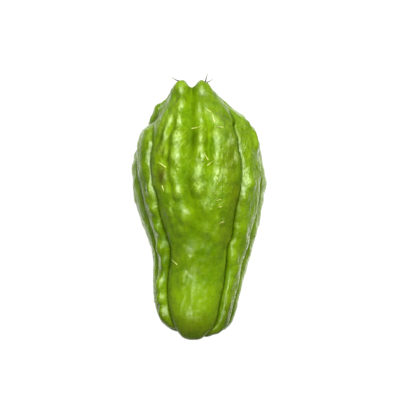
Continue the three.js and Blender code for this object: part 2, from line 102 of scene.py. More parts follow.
# Each crease's angle and depth along the fruit, as (y, value) pairs.
CREASES = {
    "left_under": {
        "angle": [
            (-75, -78), (-62, -76), (-53, -73.5), (-38, -72.5), (-24, -74), (-16, -70),
            (-7, -70), (3, -70), (13, -71), (18, -76), (29, -79), (35, -85), (42, -92),
            (48, -97), (54, -90), (60, -86), (66, -94), (75, -104),
        ],
        "depth": [
            (-75, 4), (-66, 4.6), (-45, 3.6), (0, 3), (30, 3), (48, 4.5), (56, 4.5),
            (66, 2.6), (75, 1.5),
        ],
    },
    "left_crown": {
        "angle": [
            (-75, -53), (-69, -52), (-64, -49.5), (-56, -50), (-46, -49.5), (-36, -48.5),
            (-28, -45), (-22, -43.5), (-17.5, -46), (-4, -45.5), (9, -45), (15, -48),
            (22, -50.5), (33, -52.5), (39.5, -51.5), (45, -58), (51, -66), (56, -63),
            (61, -63), (66, -70), (71, -80), (75, -84),
        ],
        "depth": [
            (-75, 4), (-66, 5.6), (-45, 5.2), (-10, 4.8), (20, 4.4), (40, 4.6), (56, 4.4),
            (66, 2.6), (75, 1.5),
        ],
    },
    "right_crown": {
        "angle": [
            (-76, 26), (-73, 30), (-68, 36.5), (-61, 39), (-53, 40), (-44, 40), (-36, 39),
            (-28, 35), (-21, 34), (-17, 38), (-4, 38), (6, 39.5), (13.5, 41.5), (28, 43),
            (35, 41.5), (42, 40.5), (49, 42), (53, 51), (58, 63), (64, 73), (75, 84),
        ],
        "depth": [
            (-75, 4), (-66, 5.4), (-45, 5), (-18, 5), (10, 3.6), (40, 3.4), (56, 3.6),
            (66, 2.4), (75, 1.5),
        ],
    },
    "right_under": {
        "angle": [
            (-75, 72), (-50, 73), (-42, 74), (-32, 69.5), (-21, 74), (-13, 71), (-4, 77),
            (8, 75), (17.5, 74), (29, 82), (38, 83), (47, 79), (56, 80), (64, 92), (75, 102),
        ],
        "depth": [
            (-75, 4), (-66, 4.6), (-45, 3.6), (0, 3), (30, 3), (48, 3.6), (60, 3.2),
            (68, 2.4), (75, 1.5),
        ],
    },
    "belly": {
        "angle": [(-75, 176), (-30, 179), (20, 182), (50, 181), (75, 178)],
        "depth": [
            (-75, 4), (-66, 4.8), (-30, 4.4), (10, 4.2), (50, 4.6), (68, 3), (75, 1.5),
        ],
    },
}

# The lobes lie between neighbouring creases. Inset is how far a lobe's crest lies inside
# the outline, roundness how soon its flanks turn down, tightness the power that shapes the
# flanks (the lower, the narrower the crease), and share its part of the columns.
LOBES = [
    {
        "from": "left_under", "to": "left_crown",
        "roundness": 2.2, "tightness": 0.5, "share": 0.11,
        "inset": [
            (-76, 4.8), (-74, 4.6), (-72, 3.6), (-68, 0.8), (-62, 0), (-30, 0.5), (20, 1.2),
            (35, 0), (46, 0), (50, 2.2), (54, 4), (64, 2.5), (73, 1.6), (76, 1.6),
        ],
    },
    {
        "from": "left_crown", "to": "right_crown",
        "roundness": 3.2, "tightness": 0.35, "share": 0.36,
        "inset": [(-75, 0), (75, 0)],
    },
    {
        "from": "right_crown", "to": "right_under",
        "roundness": 2.4, "tightness": 0.5, "share": 0.13,
        "inset": [
            (-76, 1.6), (-74, 1.5), (-72, 0.8), (-66, 0), (50, 0), (56, 0.4), (62, 2),
            (73, 1.6), (76, 1.6),
        ],
    },
    {
        "from": "right_under", "to": "belly",
        "roundness": 3.6, "tightness": 0.35, "share": 0.2,
        "inset": [
            (-76, 3.2), (-74, 3), (-70, 1.2), (-64, 0), (30, 0), (42, 1.5), (56, 0.8),
            (64, 0), (73, 1.2), (76, 1.2),
        ],
    },
    {
        "from": "belly", "to": "left_under",
        "roundness": 3.6, "tightness": 0.35, "share": 0.2,
        "inset": [
            (-76, 3.6), (-74, 3.4), (-70, 1.4), (-64, 0), (30, 0), (40, 2), (46, 2.4),
            (50, 0.8), (60, 0), (66, 0.6), (73, 1.8), (76, 1.8),
        ],
    },
]
CROWN_LOBE = 1

# Shallow valleys inside a lobe: half width in millimetres, and angle and depth by y.
VALLEYS = [
    {
        "half_width": 4.2,  # splits the crown lobe into two ribs from the blossom end down
        "angle": [
            (-20, -5), (-9, -5), (4, -7), (12, -10), (19, -11), (27, -11), (36, -10.5),
            (45, -11.5), (55, -8), (65, -4.5), (75, 0),
        ],
        "depth": [
            (-24, 0), (-8, 1.4), (4, 2.2), (18, 2), (35, 2.8), (55, 2.6), (66, 2.4), (72, 1.8),
            (76, 1.8),
        ],
    },
    {
        "half_width": 2.7,  # parts the tip's two knobs above
        "angle": [(50, -8), (65, -4.5), (75, 0)],
        "depth": [(58, 0), (66, 0.8), (72, 3), (76, 4.6)],
    },
    {
        "half_width": 4.6,  # parts the tip's two knobs underneath
        "angle": [(50, 180), (75, 180)],
        "depth": [(58, 0), (66, 1.5), (72, 4.4), (76, 5.4)],
    },
    {
        "half_width": 2.4,  # beside the narrow rib at the crown's left
        "angle": [(0, -22), (20, -28.5), (40, -30), (58, -28)],
        "depth": [(0, 0), (14, 1.4), (30, 2), (50, 1.8), (62, 0)],
    },
    {
        "half_width": 2.6,  # beside the right rib
        "angle": [(0, 9), (20, 9), (40, 10), (60, 12)],
        "depth": [(4, 0), (22, 1.6), (44, 2), (62, 0)],
    },
    {
        "half_width": 5,  # the middle of the right lower lobe
        "angle": [(-60, 122), (0, 128), (60, 122)],
        "depth": [(-50, 0), (-30, 1.4), (30, 2), (60, 1.6), (72, 0.5)],
    },
    {
        "half_width": 5,  # the middle of the left lower lobe
        "angle": [(-60, -120), (0, -116), (60, -122)],
        "depth": [(-50, 0), (-30, 1.4), (30, 2), (60, 1.6), (72, 0.5)],
    },
]

# The slit at the blossom end, across the fruit between the two lips.
MOUTH = {"z": 35.6, "depth": 4.5, "half_height": 1.3, "half_length": 8}

# Swellings seen from above: x, y, half width across, half width along, height. Their height
# falls off with distance by a power that leaves them flat on top. A height below 0 is a hollow.
CROWN_POWER = 1.5
CROWN_SWELLINGS = [
    (-10.6, 71.5, 5, 4.5, 2.2), (2.2, 71.5, 5, 4.5, 2.2),  # beside the tip's dip
    (-10.4, 62, 2.9, 4.1, 1.8), (-0.6, 59.6, 3.5, 3.5, 1.2), (-13.9, 53.3, 5.2, 3.8, 1.9),
    (-0.6, 53.8, 4.1, 3.2, 1.3), (8.7, 53.3, 3.5, 4.1, 1), (-20.4, 53.8, 1.6, 4.6, 0.9),
    (-19.2, 44.6, 1.5, 5.2, 1.5), (-19.6, 34.2, 1.5, 4.6, 1.3), (-13, 41.7, 5.4, 5, 2.2),
    (-13.3, 30.7, 4.9, 5.2, 2), (1.2, 41.7, 3.8, 4.6, 2.1), (3.2, 30.7, 2.6, 4.1, 1.3),
    (10.1, 43.4, 3.8, 4.6, 2), (11, 31.8, 3.8, 6.4, 1.8), (-18.5, 20.3, 3.5, 4.6, 1.3),
    (-8.7, 24.3, 5.2, 2.9, 0.7), (-1.2, 19.1, 4.1, 3.5, 1.4), (0, 11.6, 4.2, 4.6, 1.6),
    (8.7, 13.9, 3.2, 5.2, 0.6), (-13.3, 9.3, 3.5, 3.5, 1), (-7.5, -3.5, 4.1, 4.6, 1.7),
    (-12.2, -10.4, 4.1, 4.6, 0.7), (4.1, 1.2, 4.6, 5.2, 0.5), (10.4, -15.1, 4.1, 4.6, 0.7),
    (-7.5, -27.2, 4.6, 5.8, 0.7), (8.5, -24.3, 4.1, 4.6, 0.7), (-9.6, -40, 2.6, 4.6, 0.7),
    (-3.5, -47.5, 2.6, 7.5, 0.8), (-17.4, -1.7, 2.6, 4.1, 0.7), (-16.8, -15.1, 2.6, 4.1, 0.6),
    (13.9, 47.5, 2.3, 5.2, 0.8), (17.4, 34.7, 2.9, 4.6, 0.6), (17.4, 18.5, 2.9, 5.2, 0.6),
    (12.7, -6.9, 2.3, 3.5, 0.5),
    # hollows between the ribs
    (-4.6, 40, 2.9, 8.1, -1.4), (-22.9, 41.7, 2, 4.1, -1.1), (15.1, 55.6, 2, 3.5, -0.8),
    (-6.4, 9.8, 2, 8.1, -0.8), (13.3, -3.5, 1.7, 2.3, -0.8), (5.5, 34.7, 1.3, 6.9, -0.8),
    # along the left lobe, from its shoulder to its end
    (-28.4, 39.4, 2.6, 3.5, 1.5), (-33, 27.2, 2.9, 4.6, 0.6), (-28.9, 12.2, 3.5, 5.2, 1.7),
    (-30.7, 4.1, 2.9, 2.9, 0.6), (-27, -0.6, 3.5, 3.2, 1.9), (-24.3, -11, 3.2, 3.5, 1.4),
    (-22.8, -22.6, 3.5, 4.1, 2.1), (-21, -30.7, 2.9, 3.5, 1), (-22.6, -43.4, 3.7, 4.8, 2.4),
    (-22.6, -51.5, 3.2, 3.2, 1.9), (-21.5, -60.5, 3.5, 4.2, 1.4),
    # along the right lobe
    (26.9, 50.4, 4.1, 3.5, 1.2), (31.6, 43.7, 3.5, 3.5, 1.5), (33, 37.6, 2.9, 3.5, 1.6),
    (22, 41.1, 3.8, 4.6, 2.1), (24, 30.7, 3.5, 5.2, 1.9), (30.1, 15.1, 4.1, 3.5, 1.6),
    (25.5, 7.5, 4.1, 4.6, 2.1), (22.6, -2.3, 4.6, 4.6, 1.3), (25.5, -11, 4.1, 4.6, 1.2),
    (19.1, -28.4, 4.1, 4.6, 1.9), (21.1, -34.7, 2.9, 3.5, 1.1), (16.8, -43.4, 4.1, 5.2, 1.3),
    (16.2, -53.3, 4.1, 5.2, 0.9), (13.3, -62.5, 4.6, 4.6, 1),
]

# Knobs that the edges show from above: angle, y, half width round, half width along, height.
# They are rounder on top, and so are those underneath.
ROUND_POWER = 1
SIDE_SWELLINGS = [
    (-96, 60, 8, 3, 1.8), (-92, 50, 6, 3.5, 0.5), (100, 55, 8, 2.4, 0.9), (96, 46.9, 8, 2.4, 1.1),
    (94, 38.8, 8, 2.4, 1.1), (98, 50.8, 8, 1.6, -0.6), (95, 42.8, 8, 1.6, -0.6),
]

# Swellings on the sides and underside stand in rows along the two lower lobes. Each wanders
# along the fruit and sways across its lobe, has a half width from narrow to wide and a height
# from low to high, and is lower on the neck. At the edges seen from above, up to the angle
# edge_ends, they are lower too, by edge_share.
LOWER_ROWS = {"shares": (0.12, 0.31, 0.5, 0.69, 0.88), "start": -56, "end": 62, "step": 10}
LOWER_SWELLING = {
    "wander": 2.2, "sway": 0.03, "narrow": 3.2, "wide": 4.8, "low": 1, "high": 2,
    "neck_share": 0.5, "edge_share": 0.4, "edge_starts": 90, "edge_ends": 115,
}
NECK_ENDS = -26  # the y below which the skin is smoother

# Prickles seen from above: x, y, heading in degrees from +X towards +Y.
CROWN_PRICKLES = [
    (-11.6, 74.5, 171), (3.4, 74.2, 72), (4.4, 73.6, 8), (6.5, 56, 189), (8.9, 50.5, 114),
    (-3.2, 47.9, 349), (12.8, 47.1, 205), (4.7, 29.8, 126), (5.3, 25.8, 39),
    (-19.5, 24.4, 140), (-21.4, 13.9, 321), (12.3, 6.1, 178), (12.9, 1.9, 165),
    (13.5, -6.7, 180), (-13, -31.3, 113),
]
# Prickles on the sides and underside: where they may stand, and how far their headings may
# go sideways and upwards before they are laid along the skin.
SIDE_PRICKLES = {
    "count": 22, "from_angle": 104, "to_angle": 144, "from_y": -56, "to_y": 56,
    "sideways": 0.5, "upwards": 0.6,
}
PRICKLE_SUNK = 1.2  # how deep a root lies in the skin
DRY_BEYOND = 65  # the y beyond which prickles are dry and dark, the dark partly painted shade
PRICKLE_LIFT = 24  # degrees out of the skin
SEED = 1


def linear(code):
    """A colour's linear red, green, blue and alpha from its sRGB hex code."""
    parts = [int(code[i : i + 2], 16) / 255 for i in (0, 2, 4)]
    return (*[p / 12.92 if p <= 0.04045 else ((p + 0.055) / 1.055) ** 2.4 for p in parts], 1.0)


def hue(name, description, code):
    """A colour property with the sRGB hex code as its default."""
    return bpy.props.FloatVectorProperty(
        name=name, description=description, default=linear(code), size=4, subtype="COLOR",
        min=0, max=1,
    )


def length(name, description, millimetres):
    """A length property whose default is given in millimetres."""
    return bpy.props.FloatProperty(
        name=name, description=description, default=millimetres * MM, min=0, unit="LENGTH",
        precision=5,
    )


# The shape


def curve(points, at):
    """A smooth curve through (at, value) pairs, level beyond its ends."""
    xs, ys = np.array(points, float).T
    before = np.maximum(np.arange(len(xs)) - 1, 0)
    after = np.minimum(np.arange(len(xs)) + 1, len(xs) - 1)
    slopes = (ys[after] - ys[before]) / (xs[after] - xs[before])
    at = np.clip(at, xs[0], xs[-1])
    i = np.clip(np.searchsorted(xs, at) - 1, 0, len(xs) - 2)
    span = xs[i + 1] - xs[i]
    t = (at - xs[i]) / span
    t2 = t * t
    t3 = t2 * t
    start = (2 * t3 - 3 * t2 + 1) * ys[i] + (t3 - 2 * t2 + t) * span * slopes[i]
    return start + (3 * t2 - 2 * t3) * ys[i + 1] + (t3 - t2) * span * slopes[i + 1]


def mix(a, b, share):
    """The value a share of the way from a to b."""
    return a + (b - a) * share


def smoothstep(x, low, high):
    """0 below low, 1 above high, and smooth between them."""
    t = np.clip((x - low) / (high - low), 0, 1)
    return t * t * (3 - 2 * t)


def random_from(state):
    """A small repeatable random generator, 0 to 1."""
    multiplier, modulus = 16807, 2**31 - 1
    while True:
        state = state * multiplier % modulus
        yield state / modulus


class Section:
    """The outline's section at station s: its middle, half sizes and y."""

    def __init__(self, s):
        stations = range(len(OUTLINE))
        y, left, right, under, crown = (
            curve(list(zip(stations, column)), s) for column in zip(*OUTLINE)
        )
        self.x = (left + right) / 2
        self.y = y
        self.z = (under + crown) / 2
        self.half_width = (right - left) / 2
        self.half_height = (crown - under) / 2
        self.radius = (self.half_width + self.half_height) / 2


def envelope(angle, s):
    """Points of the plain envelope, with no creases or swellings."""
    a = Section(s)
    turn = np.radians(angle)
    x = a.x + a.half_width * np.sin(turn)
    z = a.z + a.half_height * np.cos(turn)
    return np.stack([x, np.broadcast_to(a.y, x.shape), z], -1)


def envelope_normal(angle, s):
    """The envelope's outward direction, by small differences."""
    step_angle, step_station, inside = 0.5, 0.02, 0.001
    lower = np.maximum(s - step_station, inside)
    upper = np.minimum(s + step_station, LAST - inside)
    around = envelope(angle + step_angle, s) - envelope(angle - step_angle, s)
    along = envelope(angle, upper) - envelope(angle, lower)
    normal = np.cross(around, along)
    return normal / np.linalg.norm(normal, axis=-1, keepdims=True)


def station_at(y):
    """The station on the fruit's side, between the rim and the lips, with this y."""
    halvings = 40
    low, high = float(RIM), float(LIPS)
    for _ in range(halvings):
        middle = (low + high) / 2
        if Section(middle).y < y:
            low = middle
        else:
            high = middle
    return (low + high) / 2


def lobe_edges(lobe, y):
    """The lobe's two edge angles at this y."""
    start = curve(CREASES[lobe["from"]]["angle"], y)
    end = curve(CREASES[lobe["to"]]["angle"], y)
    return (start - 360 if lobe["from"] == "belly" else start), end


def angle_apart(a, b):
    """The turn from b to a, from -180 to 180 degrees."""
    return (a - b + 180) % 360 - 180


def angle_from_above(x, section):
    """The angle of the skin's point that is seen from above at x."""
    share = np.clip((x - section.x) / section.half_width, -1, 1)
    return float(np.degrees(np.arcsin(share)))


def all_swellings():
    """Every swelling: angle, y, half widths, height, power and the fruit's radius there."""
    made = []

    def add(angle, y, across, along, height, power=ROUND_POWER):
        radius = float(Section(station_at(y)).radius)
        made.append((angle, y, across, along, height, power, radius))

    for x, y, across, along, height in CROWN_SWELLINGS:
        angle = angle_from_above(x, Section(station_at(y)))
        add(angle, y, across, along, height, CROWN_POWER)
    for swelling in SIDE_SWELLINGS:
        add(*swelling)
    random = random_from(SEED)
    rows = range(LOWER_ROWS["start"], LOWER_ROWS["end"] + 1, LOWER_ROWS["step"])
    for lobe in LOBES[3:]:
        for share in LOWER_ROWS["shares"]:
            for y in rows:
                at = y + (2 * next(random) - 1) * LOWER_SWELLING["wander"]
                edges = lobe_edges(lobe, at)
                angle = mix(*edges, share + (2 * next(random) - 1) * LOWER_SWELLING["sway"])
                size = mix(LOWER_SWELLING["narrow"], LOWER_SWELLING["wide"], next(random))
                tall = mix(LOWER_SWELLING["low"], LOWER_SWELLING["high"], next(random))
                tall *= LOWER_SWELLING["neck_share"] if at < NECK_ENDS else 1
                under = smoothstep(
                    abs(angle), LOWER_SWELLING["edge_starts"], LOWER_SWELLING["edge_ends"],
                )
                tall *= mix(LOWER_SWELLING["edge_share"], 1, under)
                add(float(angle), at, size, size, tall)
    return made


SWELLINGS = all_swellings()


def swelling_height(angle, y):
    """How far the skin stands out from the envelope where its swellings are."""
    height = np.zeros(np.broadcast(angle, y).shape)
    for at, at_y, half_across, half_along, tall, power, radius in SWELLINGS:
        across = np.radians(angle_apart(angle, at)) * radius / half_across
        along = (y - at_y) / half_along
        height += tall * np.exp(-((across**2 + along**2) ** power))
    return height


def valley_depth(angle, y, radius):
    """How far the skin lies below the envelope in its shallow valleys."""
    depth = np.zeros(np.broadcast(angle, y).shape)
    for v in VALLEYS:
        off = np.radians(angle_apart(angle, curve(v["angle"], y))) * radius / v["half_width"]
        depth += curve(v["depth"], y) * np.exp(-(off**2))
    return depth


def mouth_depth(points, s):
    """The slit's depth at points of the blossom end. Its two ends are blunt."""
    across = (points[..., 2] - MOUTH["z"]) / MOUTH["half_height"]
    along = (points[..., 0] - Section(float(LAST)).x) / MOUTH["half_length"]
    deep = MOUTH["depth"] * np.exp(-(across**2) - along**4)
    return np.where(s < MOUTH_STARTS, 0, deep)


class Patch:
    """A lobe's skin at shares across it and stations along it, and what its colour needs.

    The pit, the mouth and the creases are smooth, so swellings fade out towards them.
    """

    def __init__(self, number, share, s):
        lobe = LOBES[number]
        a = Section(s)
        start, end = lobe_edges(lobe, a.y)
        self.angle = mix(start, end, share)
        self.y = np.broadcast_to(a.y, self.angle.shape)
        self.arch = (1 - np.abs(2 * share - 1) ** lobe["roundness"]) ** lobe["tightness"]
        self.around = np.radians(self.angle) * a.radius
        self.normal = envelope_normal(self.angle, s)
        self.swelling = swelling_height(self.angle, self.y) * self.arch
        self.in_pit = smoothstep(s, *PIT_FADE)
        self.in_mouth = smoothstep(LAST - s, 0, MOUTH_FADE)
        crease = mix(
            curve(CREASES[lobe["from"]]["depth"], a.y),
            curve(CREASES[lobe["to"]]["depth"], a.y),
            share,
        )
        self.valley = valley_depth(self.angle, self.y, a.radius)
        depth = mix(crease, curve(lobe["inset"], a.y), self.arch) + self.valley
        relief = (self.swelling - depth) * self.in_pit * self.in_mouth
        plain = envelope(self.angle, s)
        self.slit = mouth_depth(plain, s)
        self.points = plain + self.normal * (relief - self.slit)[..., None]


def skin_at(angle, s):
    """The skin's point at an angle round the fruit."""
    y = Section(s).y
    for number, lobe in enumerate(LOBES):
        start, end = lobe_edges(lobe, y)
        for turn in (0, 360, -360):
            share = (angle + turn - start) / (end - start)
            if 0 <= share < 1:
                return Patch(number, share, s).points
    raise ValueError(f"no lobe holds the angle {angle}")


# The fine surface

# Wrinkles raised in the mesh: their width round the fruit and length along it, how far they
# stand out, and how much of that is left on the smooth neck.
WRINKLES = [
    {"width": 5.0, "length": 7.5, "height": 0.5, "neck": 0.5, "layer": 0.4},
    {"width": 2.4, "length": 4.0, "height": 0.35, "neck": 0.5, "layer": 40.4},
]
LAYER_STEP = 7  # keeps one lobe's wrinkles unlike the next one's
WRINKLED = (NECK_ENDS - 10, NECK_ENDS + 25)  # from the smooth neck to the wrinkled crown
CROWDING = 0.6  # how much a lobe's columns crowd towards its creases, 0 to 1
NEAR_END = 0.0001  # how far the end points' stations are from the outline's ends
UPPER_SKIN = (18, 30)  # the heights between which patches seen from above fade in
WAY_STEP = 50.0  # keeps one lobe's skin patterns unlike the next one's


def wrinkle_height(patch, number):
    """How far fine wrinkles raise the skin, in millimetres."""
    height = np.zeros(patch.angle.shape)
    rough = smoothstep(patch.y, *WRINKLED)
    for wrinkle in WRINKLES:
        strength = mix(wrinkle["neck"], 1.0, rough) * wrinkle["height"]
        layer = wrinkle["layer"] + LAYER_STEP * number
        places = np.stack([patch.around / wrinkle["width"], patch.y / wrinkle["length"]], -1)
        raised = [noise.noise((x, y, layer)) for x, y in places.reshape(-1, 2)]
        height += strength * np.array(raised).reshape(height.shape)
    return height * patch.arch**0.5 * patch.in_pit * patch.in_mouth


def even_stations(rows):
    """Stations that divide the fruit's length along its skin into even steps."""
    samples = 2400
    fine = np.linspace(0, LAST, samples)
    quarters = (0.0, 90.0, 180.0, 270.0)
    sides = np.stack([envelope(np.full(fine.shape, angle), fine) for angle in quarters])
    steps = np.linalg.norm(np.diff(sides, axis=1), axis=-1).mean(0)
    travelled = np.concatenate([[0], np.cumsum(steps)])
    return np.interp(np.linspace(0, travelled[-1], rows + 1)[1:-1], travelled, fine)


def column_shares(count):
    """Shares across a lobe, closer together beside its creases."""
    even = np.arange(count) / count
    crowded = (1 - np.cos(np.pi * even)) / 2
    return mix(even, crowded, CROWDING)


# Patches of other colour seen from above: x, y, half width across, half width along, strength.
# Olive is the reddish patch beside the left crease, the crown's right flank and the neck's
# end. Deep lies in hollows and over parts of the lobes, neck and tip, partly the skin's
# deeper green and partly painted shade. Pale is partly paler skin and partly painted light,
# mostly on the right lobe and the neck. The ribs' scuffed, crinkled patches also carry pale
# strokes that are partly a painted highlight.
COLOUR_PATCHES = {
    "olive": [
        (-21.2, 19.6, 2.6, 5.4, 1.0), (-21, 34, 3, 6, 0.35), (19, 30, 4.5, 14, 0.45),
        (21, 8, 4, 12, 0.5), (16, -14, 5, 7, 0.35), (12.6, -8.8, 2, 2, 0.5),
        (-2, -66, 14, 9, 0.55), (-24, -60, 5, 9, 0.35), (18, -60, 6, 10, 0.35),
    ],
    # partly the skin's deeper green, partly painted shade over hollows, lobes, neck and tip
    "deep": [
        (-4.6, 40, 2.9, 7.5, 0.7), (-6.9, 10.6, 1.7, 8.7, 0.5), (-3.5, -10.4, 2.3, 5.8, 0.4),
        (13.3, -4.6, 2, 2.9, 0.8), (5.2, -15.1, 2.6, 3.5, 0.6), (15.6, 54.4, 2.9, 4.6, 0.5),
        (18.5, 43.4, 2.3, 5.8, 0.5), (-22.6, 41.7, 2.3, 4.6, 0.6), (0.6, 59.1, 6.9, 2.3, 0.2),
        (8.7, -20.3, 2.3, 2.9, 0.4), (-17.9, -30.1, 2.3, 4.6, 0.4), (3.5, -30.1, 3.5, 3.5, 0.35),
        (-2, -17, 12, 9, 0.35), (-6, -36, 8, 7, 0.3), (-31, 34, 3, 8, 0.5), (-31, 14.5, 3, 9, 0.45),
        (-21, -32, 3, 7, 0.35), (-21, -61, 3.5, 7, 0.6), (2, 66.6, 5, 5, 0.6), (-10, 67, 4, 4, 0.45),
        (15, -63, 6, 7, 0.6), (16, -3, 4, 6, 0.5), (26, 46, 4, 6, 0.35),
    ],
    # partly paler skin, partly painted light on the right lobe and the neck
    "pale": [
        (-8, 73, 5, 2, 0.7), (33, -2, 4, 18, 0.35), (24, -42, 4, 16, 0.5), (-4, -52, 9, 11, 0.7),
        (-20, -54, 4, 6, 0.4), (19, -30, 4, 7, 0.6), (27, -4, 4, 8, 0.5), (-1.5, 12, 3.5, 7, 0.45),
        (30, 12, 3, 8, 0.4),
    ],
    # partly a painted highlight: pale strokes on the ribs where they catch the light
    "worn": [
        (-12.5, 44, 5.5, 14, 1.0), (-9, 27, 9, 6, 0.9), (2, 43, 4, 8, 0.9), (0, 17, 8, 8, 0.9),
        (11, 42, 5, 14, 0.8), (10, 14, 5, 8, 0.6), (24, 36, 4, 14, 0.5), (-19.5, 46, 2, 12, 0.8),
    ],
}


def spots(points, patches):
    """How strongly patches given from above colour the upper skin, 0 to 1."""
    strength = np.zeros(points.shape[:-1])
    for x, y, across, along, most in patches:
        far = ((points[..., 0] - x) / across) ** 2 + ((points[..., 1] - y) / along) ** 2
        strength = np.maximum(strength, most * np.exp(-far))
    return strength * smoothstep(points[..., 2], *UPPER_SKIN)


def skin_faces(rows, ring):
    """The faces of a tube of rows with a ring of points each, closed by a point at each end."""
    here = np.arange(ring)
    after = (here + 1) % ring
    starts = np.arange(rows - 1)[:, None] * ring
    a, b = starts + here, starts + after
    quads = np.stack([a, b, b + ring, a + ring], -1).reshape(-1, 4)
    top = (rows - 1) * ring
    stalk_end = rows * ring
    mouth_end = stalk_end + 1
    caps = np.concatenate([
        np.stack([np.full(ring, stalk_end), after, here], -1),
        np.stack([np.full(ring, mouth_end), top + here, top + after], -1),
    ])
    return quads.tolist() + caps.tolist()


def add_attribute(mesh, name, kind, field, values):
    """Stores a value for each point of the mesh, for a material or a node tree."""
    layer = mesh.attributes.new(name, kind, "POINT")
    layer.data.foreach_set(field, np.asarray(values, np.float32).ravel())


def skin_object(columns, rows, wrinkle_scale):
    """The whole skin as a mesh: a ring of columns at each row, and a point at each end."""
    stations = even_stations(rows)
    parts, ways, marks = [], [], {}
    for number, lobe in enumerate(LOBES):
        share = column_shares(round(columns * lobe["share"]))
        patch = Patch(number, share[None, :], stations[:, None])
        raised = wrinkle_height(patch, number) * wrinkle_scale
        parts.append(patch.points + patch.normal * raised[..., None])
        apart = np.full(patch.y.shape, WAY_STEP * number)
        ways.append(np.stack([patch.around, patch.y, apart], -1))
        found = {
            # painted shade: how far into a crease the skin lies
            "crease": (1 - patch.arch) * patch.in_pit,
            "swelling": patch.swelling + raised,
            "valley": patch.valley - patch.swelling - raised,
            **{name: spots(patch.points, patches) for name, patches in COLOUR_PATCHES.items()},
            "stalk": np.broadcast_to(1 - patch.in_pit, patch.angle.shape),
            "slit": patch.slit / MOUTH["depth"],
        }
        for name, values in found.items():
            marks.setdefault(name, []).append(values)
    around = np.concatenate(parts, 1)
    ends = [
        envelope(np.array(0.0), NEAR_END),
        Patch(CROWN_LOBE, 0.5, LAST - NEAR_END).points,
    ]
    points = np.concatenate([around.reshape(-1, 3), np.stack(ends)])
    points[:, 2] = np.maximum(points[:, 2], SHIFT[2])
    points = (points - np.array(SHIFT)) * MM

    mesh = bpy.data.meshes.new("chayote_skin")
    mesh.from_pydata(points.tolist(), [], skin_faces(*around.shape[:2]))
    mesh.shade_smooth()
    end_marks = {"stalk": (1.0, 0.0), "slit": (0.0, 1.0)}  # at the stalk's end and the mouth's
    for name, values in marks.items():
        at_ends = end_marks.get(name, (0.0, 0.0))
        whole = np.concatenate([np.concatenate(values, 1).ravel(), at_ends])
        add_attribute(mesh, name, "FLOAT", "value", whole)
    way = np.concatenate([np.concatenate(ways, 1).reshape(-1, 3), np.zeros((2, 3))])
    add_attribute(mesh, "skin_way", "FLOAT_VECTOR", "vector", way)
    made = bpy.data.objects.new("chayote_skin", mesh)
    bpy.context.scene.collection.objects.link(made)
    return made


# The materials


def add_node(tree, kind, settings=None, inputs=None):
    """Adds a node with its settings, and sets or links its inputs by name or number."""
    made = tree.nodes.new(kind)
    for name, value in (settings or {}).items():
        setattr(made, name, value)
    for key, value in (inputs or {}).items():
        if isinstance(value, bpy.types.NodeSocket):
            tree.links.new(value, made.inputs[key])
        else:
            made.inputs[key].default_value = value
    return made


def new_material(name):
    """An empty material and its node tree."""
    material = bpy.data.materials.new(name)
    material.use_nodes = True
    material.node_tree.nodes.clear()
    return material, material.node_tree


# Where the neck's calm, duller skin turns into the crown's, in metres along the fruit.
NECK_FADE = (-0.03, 0.01)
NOISE_ROUGHNESS = 0.55


